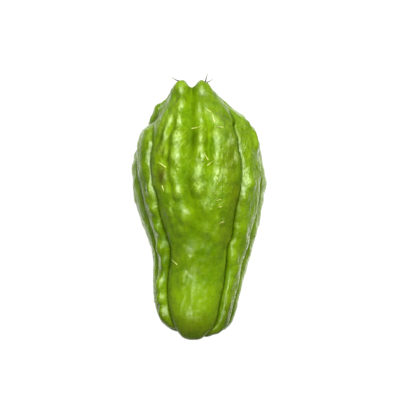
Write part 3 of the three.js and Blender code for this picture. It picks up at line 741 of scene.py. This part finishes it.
def skin_material(settings):
    """Waxy green fruit skin, grown and unpolished.

    A thin natural wax gives the swellings soft white highlights, over green that is mottled
    and streaked along the fruit, and is dull in the valleys and on the neck. The colour also
    holds painted light and shade, in part: lighter on swellings, pale patches and rib strokes,
    darker in creases, valleys and deep patches.
    """
    material, tree = new_material("waxy_chayote_skin")

    def add(kind, settings=None, inputs=None):
        return add_node(tree, kind, settings, inputs)

    def mark(name, output="Fac"):
        return add("ShaderNodeAttribute", {"attribute_name": name}).outputs[output]

    def times(a, b):
        return add("ShaderNodeMath", {"operation": "MULTIPLY"}, {0: a, 1: b}).outputs[0]

    def ramp(value, low, high, to_low=0.0, to_high=1.0):
        return add(
            "ShaderNodeMapRange", {"interpolation_type": "SMOOTHSTEP"},
            {"Value": value, "From Min": low, "From Max": high, "To Min": to_low, "To Max": to_high},
        ).outputs["Result"]

    def blend(factor, a, b):
        return add("ShaderNodeMix", {"data_type": "RGBA"}, {0: factor, 6: a, 7: b}).outputs[2]

    def noise_at(vector, scale, detail, distort=0.0):
        return add("ShaderNodeTexNoise", {"noise_dimensions": "3D"}, {
            "Vector": vector, "Scale": scale, "Detail": detail, "Roughness": NOISE_ROUGHNESS,
            "Distortion": distort,
        }).outputs["Fac"]

    place = add("ShaderNodeTexCoord").outputs["Object"]
    way = mark("skin_way", "Vector")

    def pattern(size, detail, distort=0.0):
        """Noise whose features are about size millimetres across."""
        return noise_at(place, 1 / (size * MM), detail, distort)

    def drawn_out(across, along, detail, turn=0.0):
        """Noise stretched along the lobes: its features' width and length in millimetres."""
        vector = way
        if turn:
            turned = {"Vector": vector, "Rotation": (0, 0, math.radians(turn))}
            vector = add("ShaderNodeMapping", None, turned).outputs["Vector"]
        stretched = {"Vector": vector, "Scale": (1 / across, 1 / along, 1)}
        vector = add("ShaderNodeMapping", None, stretched).outputs["Vector"]
        return noise_at(vector, 1.0, detail)

    # Yellower green on swellings and in streaks along the fruit, deeper green in blotches
    # and hollows, and brown specks of about a millimetre where the skin is olive. The lighter
    # swellings and darker valleys are partly the skin's own colour and partly painted light and
    # shade.
    colour = blend(ramp(pattern(11, 3, distort=0.6), 0.32, 0.6), settings.green, settings.lime)
    colour = blend(ramp(pattern(4.2, 3), 0.5, 0.72, 0, 0.4), colour, settings.deep)
    colour = blend(ramp(drawn_out(1.8, 16, 3), 0.48, 0.7, 0, 0.45), colour, settings.lime)
    # Partly painted light: lime on the swellings' tops.
    colour = blend(ramp(mark("swelling"), 0.5, 2.0, 0, 0.55), colour, settings.lime)
    # Partly painted shade: deeper green in the valleys and on the deep patches.
    colour = blend(ramp(mark("valley"), 0.3, 2.6, 0, 0.35), colour, settings.deep)
    colour = blend(mark("deep"), colour, settings.deep)
    colour = blend(mark("olive"), colour, settings.olive)
    # Partly painted light: the pale patches.
    colour = blend(mark("pale"), colour, settings.pale)
    specks = ramp(pattern(1.3, 1), 0.62, 0.7, 0, 0.7)
    colour = blend(times(specks, mark("olive")), colour, settings.speck)

    # Pale dry scratches on the ribs, leaning to both sides, partly a painted highlight where the
    # ribs catch the light.
    scuffs = ramp(drawn_out(0.8, 9, 1, turn=28), 0.58, 0.68, 0, 0.5)
    colour = blend(times(scuffs, mark("worn")), colour, settings.scuff_and_sheen)
    scratches = ramp(drawn_out(0.7, 7, 1, turn=-35), 0.6, 0.7, 0, 0.5)
    colour = blend(times(scratches, mark("worn")), colour, settings.scuff_and_sheen)

    # Painted shade in the creases, the stalk's fibres and the slit's brown lips.
    colour = blend(ramp(mark("crease"), 0.25, 0.95, 0, 0.75), colour, settings.deep)
    stalk = blend(pattern(0.5, 2), settings.stalk, settings.stalk_dark)
    colour = blend(ramp(mark("stalk"), 0.3, 0.9), colour, stalk)
    colour = blend(ramp(mark("slit"), 0.35, 1.0, 0, 0.7), colour, settings.stalk_dark)

    # The bump is finer than the mesh: creping that is stronger on the scuffed ribs, furrows
    # along the lobes, and pores, which are drawn coarser than real ones so that they show.
    along = add("ShaderNodeSeparateXYZ", None, {0: place}).outputs["Y"]
    calm = ramp(along, *NECK_FADE, 0.2, 1)
    crinkled = times(calm, ramp(mark("worn"), 0, 0.8, 0.95, 1.5))
    creping = times(pattern(2.4, 5, distort=1.4), crinkled)
    furrows = times(drawn_out(1.3, 5.5, 2), calm)
    pores = pattern(0.9, 2)
    relief = {}
    for strength, depth, height in (
        (0.75, 0.7, creping),
        (0.5, 0.4, furrows),
        (0.15, 0.1, pores),
    ):
        relief.update(Strength=strength, Distance=depth * MM, Height=height)
        relief["Normal"] = add("ShaderNodeBump", None, relief).outputs["Normal"]

    wax = times(ramp(mark("valley"), 0, 1.8, 1, 4), ramp(pattern(2.4, 3), 0.35, 0.7, 0.1, 0.26))
    shader = add("ShaderNodeBsdfPrincipled", None, {
        "Base Color": colour,
        "Roughness": times(wax, ramp(along, *NECK_FADE, 1.7, 1)),
        "IOR": 1.6,
        "Specular IOR Level": ramp(mark("valley"), -0.4, 1.2, 0.68, 0.08),
        "Subsurface Weight": 0.08,
        "Subsurface Radius": (0.8, 1.0, 0.3),
        "Subsurface Scale": 3 * MM,
        "Normal": relief["Normal"],
    })
    add("ShaderNodeOutputMaterial", None, {"Surface": shader.outputs["BSDF"]})
    return material


def prickle_material(settings):
    """Dry plant hair: straw coloured with paler patches, matt and a little translucent."""
    material, tree = new_material("straw_prickle")
    tint = add_node(tree, "ShaderNodeTexNoise", None, {
        "Vector": add_node(tree, "ShaderNodeTexCoord").outputs["Object"],
        "Scale": 1 / (3 * MM),
        "Detail": 2.0,
    })
    colour = add_node(tree, "ShaderNodeMix", {"data_type": "RGBA"}, {
        0: tint.outputs["Fac"], 6: settings.straw, 7: settings.straw_pale,
    })
    # Dry prickles are painted dark, partly dry hair and partly painted shade against the white.
    dry = add_node(tree, "ShaderNodeAttribute", {"attribute_name": "dry"}).outputs["Fac"]
    colour = add_node(tree, "ShaderNodeMix", {"data_type": "RGBA"}, {
        0: dry, 6: colour.outputs[2], 7: settings.dry,
    })
    shader = add_node(tree, "ShaderNodeBsdfPrincipled", None, {
        "Base Color": colour.outputs[2],
        "Roughness": 0.45,
        "IOR": 1.5,
        "Subsurface Weight": 0.15,
        "Subsurface Radius": (1.0, 1.0, 0.6),
        "Subsurface Scale": 0.3 * MM,
    })
    add_node(tree, "ShaderNodeOutputMaterial", None, {"Surface": shader.outputs["BSDF"]})
    return material


# The light that the table throws back on the fruit, as seen from the fruit: how much at the
# near distance and at the far one from the object's middle, in metres.
BOUNCE = {"From Min": 0.065, "From Max": 0.13, "To Min": 0.95, "To Max": 0.15}


def table_material(settings):
    """Matt white laminate under bright light, so pale that it holds hardly any shadow."""
    material, tree = new_material("white_laminate")
    place = add_node(tree, "ShaderNodeTexCoord").outputs["Object"]
    grain = add_node(tree, "ShaderNodeTexNoise", None, {
        "Vector": place, "Scale": 900.0,  # a grain of about 1.1 mm
    })
    bump = add_node(tree, "ShaderNodeBump", None, {
        "Strength": 0.05, "Distance": 0.1 * MM, "Height": grain.outputs["Fac"],
    })
    shader = add_node(tree, "ShaderNodeBsdfPrincipled", None, {
        "Base Color": (*[c * settings.table_shade for c in settings.table[:3]], 1.0),
        "Roughness": 0.75,
        "IOR": 1.5,
        "Emission Color": settings.table,
        "Emission Strength": settings.table_glow,
        "Normal": bump.outputs["Normal"],
    })
    away = add_node(tree, "ShaderNodeVectorMath", {"operation": "LENGTH"}, {0: place})
    near = add_node(tree, "ShaderNodeMapRange", {"interpolation_type": "SMOOTHSTEP"}, {
        "Value": away.outputs["Value"], **BOUNCE,
    })
    bounce = add_node(tree, "ShaderNodeVectorMath", {"operation": "SCALE"}, {
        0: settings.table[:3], "Scale": near.outputs["Result"],
    })
    dim = add_node(tree, "ShaderNodeBsdfDiffuse", None, {"Color": bounce.outputs[0]})
    shown = add_node(tree, "ShaderNodeLightPath").outputs["Is Camera Ray"]
    both = add_node(tree, "ShaderNodeMixShader", None, {
        0: shown, 1: dim.outputs[0], 2: shader.outputs[0],
    })
    add_node(tree, "ShaderNodeOutputMaterial", None, {"Surface": both.outputs[0]})
    return material


# The prickles


def prickle_roots():
    """Each prickle's root, the skin's direction there, its own, and 1 if it is dry and painted
    darker as shade.
    """
    roots = []
    lift = math.radians(PRICKLE_LIFT)

    def add(angle, s, heading, dry):
        normal = envelope_normal(np.array(angle), s)
        heading = np.array(heading)
        flat = heading - normal * np.dot(heading, normal)
        flat /= np.linalg.norm(flat)
        way = flat * math.cos(lift) + normal * math.sin(lift)
        place = (skin_at(angle, s) - way * PRICKLE_SUNK - np.array(SHIFT)) * MM
        roots.append((place, normal, way, dry))

    for x, y, degrees in CROWN_PRICKLES:
        s = station_at(y)
        turn = math.radians(degrees)
        dry = 1.0 if y > DRY_BEYOND else 0.0
        add(angle_from_above(x, Section(s)), s, (math.cos(turn), math.sin(turn), 0), dry)
    random = random_from(SEED + 1)
    count = SIDE_PRICKLES["count"]
    for i in range(count):
        side = 1 if i % 2 else -1
        angle = side * mix(SIDE_PRICKLES["from_angle"], SIDE_PRICKLES["to_angle"], next(random))
        along = (i + next(random)) / count
        s = station_at(mix(SIDE_PRICKLES["from_y"], SIDE_PRICKLES["to_y"], along))
        sideways = SIDE_PRICKLES["sideways"]
        x, y = (mix(-sideways, sideways, next(random)) for _ in range(2))
        add(angle, s, (x, y, next(random) * SIDE_PRICKLES["upwards"]), 0.0)
    return roots


PRICKLE_ROWS = 8  # points along a prickle
PRICKLE_SIDES = 8  # points round it
PRICKLE_SIZES = (0.8, 1.12)  # the smallest and largest, as shares of the given size
DRY_STOUTER = 1.1  # how much stouter a dry prickle is, as a share


def prickle_tree():
    """A node tree that stands a curved, tapered prickle on every point of a mesh."""
    tree = bpy.data.node_groups.new("prickles", "GeometryNodeTree")
    socket = tree.interface.new_socket
    socket("Geometry", in_out="INPUT", socket_type="NodeSocketGeometry")
    for name in ("Length", "Root radius", "Tip radius", "Bend"):
        socket(name, in_out="INPUT", socket_type="NodeSocketFloat")
    socket("Seed", in_out="INPUT", socket_type="NodeSocketInt")
    socket("Material", in_out="INPUT", socket_type="NodeSocketMaterial")
    socket("Geometry", in_out="OUTPUT", socket_type="NodeSocketGeometry")

    def add(kind, settings=None, inputs=None):
        return add_node(tree, kind, settings, inputs)

    def maths(operation, *values):
        inputs = dict(enumerate(values))
        return add("ShaderNodeMath", {"operation": operation}, inputs).outputs[0]

    def stored(name, kind):
        return add(
            "GeometryNodeInputNamedAttribute", {"data_type": kind}, {"Name": name},
        ).outputs[0]

    given = add("NodeGroupInput").outputs
    line = add("GeometryNodeCurvePrimitiveLine", {"mode": "DIRECTION"}, {
        "Direction": (0, 0, 1), "Length": given["Length"],
    })
    line = add("GeometryNodeResampleCurve", None, {
        "Curve": line.outputs[0], "Count": PRICKLE_ROWS,
    })
    along = add("GeometryNodeSplineParameter").outputs["Factor"]
    sideways = maths("MULTIPLY", maths("POWER", along, 2.0), given["Bend"])
    offset = add("ShaderNodeCombineXYZ", None, {"X": sideways})
    line = add("GeometryNodeSetPosition", None, {
        "Geometry": line.outputs[0], "Offset": offset.outputs[0],
    })
    radius = add("ShaderNodeMix", {"data_type": "FLOAT"}, {
        0: along, 2: given["Root radius"], 3: given["Tip radius"],
    })
    ring = add("GeometryNodeCurvePrimitiveCircle", None, {
        "Resolution": PRICKLE_SIDES, "Radius": 1.0,
    })
    spine = add("GeometryNodeCurveToMesh", None, {
        "Curve": line.outputs[0], "Profile Curve": ring.outputs[0], "Scale": radius.outputs[0],
        "Fill Caps": True,
    })
    turn = add("FunctionNodeAxesToRotation", {"primary_axis": "Z", "secondary_axis": "X"}, {
        0: stored("way", "FLOAT_VECTOR"), 1: stored("out", "FLOAT_VECTOR"),
    })
    smallest, largest = PRICKLE_SIZES
    size = add("FunctionNodeRandomValue", {"data_type": "FLOAT"}, {
        2: smallest, 3: largest, "Seed": given["Seed"],
    }).outputs[1]
    stout = maths("MULTIPLY_ADD", stored("dry", "FLOAT"), DRY_STOUTER, 1.0)
    thick = maths("MULTIPLY", size, stout)
    scale = add("ShaderNodeCombineXYZ", None, {"X": thick, "Y": thick, "Z": size})
    placed = add("GeometryNodeInstanceOnPoints", None, {
        "Points": given["Geometry"], "Instance": spine.outputs[0], "Rotation": turn.outputs[0],
        "Scale": scale.outputs[0],
    })
    whole = add("GeometryNodeRealizeInstances", None, {0: placed.outputs[0]})
    smooth = add("GeometryNodeSetShadeSmooth", None, {0: whole.outputs[0]})
    dressed = add("GeometryNodeSetMaterial", None, {
        "Geometry": smooth.outputs[0], "Material": given["Material"],
    })
    add("NodeGroupOutput", None, {0: dressed.outputs[0]})
    return tree


def set_input(modifier, name, value):
    """Sets a node modifier's input by the identifier of the socket with this name."""
    for item in modifier.node_group.interface.items_tree:
        if item.name == name and item.in_out == "INPUT":
            modifier[item.identifier] = value
            return
    raise KeyError(name)


def prickle_object(settings):
    """The prickles as one plain mesh, made by the node tree."""
    places, normals, ways, dry = zip(*prickle_roots())
    points = bpy.data.meshes.new("prickle_roots")
    points.from_pydata([tuple(place) for place in places], [], [])
    add_attribute(points, "out", "FLOAT_VECTOR", "vector", normals)
    add_attribute(points, "way", "FLOAT_VECTOR", "vector", ways)
    add_attribute(points, "dry", "FLOAT", "value", dry)
    made = bpy.data.objects.new("chayote_prickles", points)
    bpy.context.scene.collection.objects.link(made)
    modifier = made.modifiers.new("prickles", "NODES")
    modifier.node_group = prickle_tree()
    set_input(modifier, "Length", settings.prickle_length + PRICKLE_SUNK * MM)
    set_input(modifier, "Root radius", settings.root_radius)
    set_input(modifier, "Tip radius", settings.tip_radius)
    set_input(modifier, "Bend", settings.bend)
    set_input(modifier, "Seed", SEED)
    set_input(modifier, "Material", prickle_material(settings))
    bpy.context.view_layer.update()
    graph = bpy.context.evaluated_depsgraph_get()
    plain = bpy.data.meshes.new_from_object(made.evaluated_get(graph))
    plain.name = "chayote_prickles"
    made.modifiers.remove(modifier)
    made.data = plain
    return made


# The settings, operators and panel


class ChayoteSkinSettings(bpy.types.PropertyGroup):
    """The fruit's mesh and its colours."""

    columns: bpy.props.IntProperty(
        name="Columns", description="Mesh columns round the fruit", default=306, min=40, max=320,
    )
    rows: bpy.props.IntProperty(
        name="Rows", description="Mesh rows along the fruit", default=304, min=40, max=320,
    )
    wrinkles: bpy.props.FloatProperty(
        name="Wrinkles", description="How much of the fine wrinkling is raised", default=1.0,
        min=0, max=2, subtype="FACTOR",
    )
    green: hue("Green", "The skin's main green", "628002")
    # Lime on the swellings is partly painted light.
    lime: hue("Lime", "The yellower green of swellings and streaks", "728C06")
    # Deep green is partly painted shade, in the creases, valleys, hollows and deep patches.
    deep: hue("Deep green", "The darker green of blotches and creases", "4D6603")
    olive: hue("Olive", "Olive patches", "555B05")
    # Pale is partly painted light on the right lobe and the neck.
    pale: hue("Pale", "Pale yellow-green patches", "7E9A1C")
    # The scuffs' pale strokes are partly a painted highlight on the ribs.
    scuff_and_sheen: hue("Scuffs", "Pale dry scratches on the ribs", "A9BC62")
    speck: hue("Specks", "Small brown specks in the olive patches", "6E5A14")
    stalk: hue("Stalk", "The cut stalk's dry face", "A8A468")
    stalk_dark: hue("Stalk's fibres", "Dry brown fibres of the stalk and slit", "6A5A30")


class ChayotePrickleSettings(bpy.types.PropertyGroup):
    """The prickles' sizes and colours."""

    prickle_length: length("Length", "How far a prickle stands out of the skin", 4.8)
    root_radius: length("Root radius", "A prickle's radius at its root", 0.24)
    tip_radius: length("Tip radius", "A prickle's radius at its tip", 0.06)
    bend: length("Bend", "How far a prickle's tip bends aside", 1.3)
    straw: hue("Straw", "The prickles' darker colour", "CDD083")
    straw_pale: hue("Pale straw", "The prickles' paler colour", "F3F2BE")
    # The dry colour is partly painted shade, for prickles that show dark against the white.
    dry: hue("Dry", "The dry prickles at the blossom end", "3F4230")


class ChayoteStageSettings(bpy.types.PropertyGroup):
    """The table, the lights and the camera."""

    picture_width: length("Picture width", "How much the picture's side shows at mid height", 231.6)
    lens: bpy.props.FloatProperty(
        name="Lens", description="The camera's focal length in millimetres", default=300, min=20,
        unit="CAMERA",
    )
    key: bpy.props.FloatProperty(
        name="Key light", description="Power of the wide soft light overhead",
        default=28, min=0, unit="POWER",
    )
    back: bpy.props.FloatProperty(
        name="Back light", description="Power of the soft light beyond the blossom end",
        default=3.5, min=0, unit="POWER",
    )
    front: bpy.props.FloatProperty(
        name="Front light", description="Power of the soft light beyond the stalk",
        default=1.3, min=0, unit="POWER",
    )
    table: hue("Table", "The table's white", "F7F7F5")
    table_glow: bpy.props.FloatProperty(
        name="Table glow", description="Light added to the table so that it holds no shadow",
        default=0.7, min=0,
    )
    table_shade: bpy.props.FloatProperty(
        name="Table shade", description="How much of the lights the camera sees on the table",
        default=0.08, min=0, max=1, subtype="FACTOR",
    )


SENSOR = 36.0  # millimetres, the camera's longer side
SOFT_LIGHTS = {  # each one's place, and its size across and along
    "key": ((0.13, 0.38, 1.14), (1.45, 1.3)),
    "back": ((-0.05, 1.2, 0.62), (0.9, 0.5)),
    "front": ((-0.3, -0.5, 0.98), (0.3, 0.35)),
}
PICTURE_CENTRE = (0.58, 5.79, 33.0)  # where the camera looks, in the outline's millimetres
FAR = 20.0  # metres that the camera sees
TABLE_RADIUS = 6.0
TABLE_SIDES = 96
SKY_HEIGHT = 0.6  # where the world is dimmest, as the height of a direction of length 1
SKY_GLOW = (0.24, 0.05)  # the world's light at the horizon and overhead


def stage_object(settings):
    """A wide round table top."""
    whole = bmesh.new()
    bmesh.ops.create_circle(whole, cap_ends=True, radius=TABLE_RADIUS, segments=TABLE_SIDES)
    mesh = bpy.data.meshes.new("table_top")
    whole.to_mesh(mesh)
    whole.free()
    made = bpy.data.objects.new("table_top", mesh)
    bpy.context.scene.collection.objects.link(made)
    made.data.materials.append(table_material(settings))


def area_light(name, place, aim, size, power):
    """A rectangular soft light that the camera doesn't see."""
    light = bpy.data.lights.new(name, "AREA")
    light.shape = "RECTANGLE"
    light.size, light.size_y = size
    light.energy = power
    made = bpy.data.objects.new(name, light)
    made.location = place
    made.rotation_euler = (Vector(aim) - Vector(place)).to_track_quat("-Z", "Y").to_euler()
    made.visible_camera = False
    bpy.context.scene.collection.objects.link(made)


def studio_world():
    """White round the horizon and dimmer overhead, so that the crown keeps its deep green."""
    world = bpy.data.worlds.new("studio")
    world.use_nodes = True
    tree = world.node_tree
    tree.nodes.clear()
    way = add_node(tree, "ShaderNodeTexCoord").outputs["Generated"]
    height = add_node(tree, "ShaderNodeSeparateXYZ", None, {0: way}).outputs["Z"]
    strength = add_node(tree, "ShaderNodeMapRange", {"interpolation_type": "SMOOTHSTEP"}, {
        "Value": height, "From Min": 0.0, "From Max": SKY_HEIGHT,
        "To Min": SKY_GLOW[0], "To Max": SKY_GLOW[1],
    })
    lighting = add_node(tree, "ShaderNodeBackground", None, {
        "Color": (1, 1, 1, 1), "Strength": strength.outputs["Result"],
    })
    seen = add_node(tree, "ShaderNodeBackground", None, {"Color": (1, 1, 1, 1), "Strength": 1.0})
    shown = add_node(tree, "ShaderNodeLightPath").outputs["Is Camera Ray"]
    both = add_node(tree, "ShaderNodeMixShader", None, {
        0: shown, 1: lighting.outputs[0], 2: seen.outputs[0],
    })
    add_node(tree, "ShaderNodeOutputWorld", None, {"Surface": both.outputs[0]})
    bpy.context.scene.world = world


class CHAYOTE_OT_stage(bpy.types.Operator):
    """Makes the camera, the table, the lights and the world"""

    bl_idname = "chayote.stage"
    bl_label = "Make the stage"

    def execute(self, context):
        settings = context.scene.chayote_stage
        x, y, z = ((p - s) * MM for p, s in zip(PICTURE_CENTRE, SHIFT))
        camera = bpy.data.cameras.new("camera")
        camera.lens = settings.lens
        camera.sensor_width = SENSOR
        camera.clip_end = FAR
        made = bpy.data.objects.new("camera", camera)
        made.location = (x, y, z + settings.picture_width * settings.lens / SENSOR)
        context.scene.collection.objects.link(made)
        context.scene.camera = made
        context.scene.view_settings.view_transform = "Standard"
        context.scene.view_settings.look = "High Contrast"
        stage_object(settings)
        for name, (place, size) in SOFT_LIGHTS.items():
            area_light(name, place, (0, 0, z), size, getattr(settings, name))
        studio_world()
        return {"FINISHED"}


class CHAYOTE_OT_skin(bpy.types.Operator):
    """Makes the fruit's skin in place of its plain solid"""

    bl_idname = "chayote.skin"
    bl_label = "Make the skin"

    def execute(self, context):
        settings = context.scene.chayote_skin
        made = skin_object(settings.columns, settings.rows, settings.wrinkles)
        made.data.materials.append(skin_material(settings))
        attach(made, BODY)
        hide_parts(FRUIT)
        return {"FINISHED"}


class CHAYOTE_OT_prickles(bpy.types.Operator):
    """Stands the soft prickles on the skin"""

    bl_idname = "chayote.prickles"
    bl_label = "Make the prickles"

    def execute(self, context):
        made = prickle_object(context.scene.chayote_prickles)
        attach(made, BODY)
        return {"FINISHED"}


class CHAYOTE_PT_panel(bpy.types.Panel):
    """Lists the sizes, the colours and the operators"""

    bl_label = "Chayote squash"
    bl_idname = "CHAYOTE_PT_panel"
    bl_space_type = "VIEW_3D"
    bl_region_type = "UI"
    bl_category = "Chayote"

    def draw(self, context):
        layout = self.layout
        for group, _, operator in STEPS:
            box = layout.box()
            owner = getattr(context.scene, group)
            for name in owner.bl_rna.properties.keys():
                if name not in {"rna_type", "name"}:
                    box.prop(owner, name)
            box.operator(operator)


# Each group of settings on the scene, its class, and the operator that reads it.
STEPS = [
    ("chayote_stage", ChayoteStageSettings, "chayote.stage"),
    ("chayote_skin", ChayoteSkinSettings, "chayote.skin"),
    ("chayote_prickles", ChayotePrickleSettings, "chayote.prickles"),
]
CLASSES = [
    *[kind for _, kind, _ in STEPS],
    CHAYOTE_OT_stage, CHAYOTE_OT_skin, CHAYOTE_OT_prickles, CHAYOTE_PT_panel,
]


def register():
    """Registers the classes and hangs the settings on the scene."""
    for kind in CLASSES:
        bpy.utils.register_class(kind)
    for group, kind, _ in STEPS:
        setattr(bpy.types.Scene, group, bpy.props.PointerProperty(type=kind))


def unregister():
    """Takes the settings and the classes away again."""
    for group, _, _ in STEPS:
        delattr(bpy.types.Scene, group)
    for kind in reversed(CLASSES):
        bpy.utils.unregister_class(kind)


def main():
    """Makes the stage and the fruit."""
    register()
    bpy.ops.chayote.stage()
    bpy.ops.chayote.skin()
    bpy.ops.chayote.prickles()


if __name__ == "__main__":
    main()
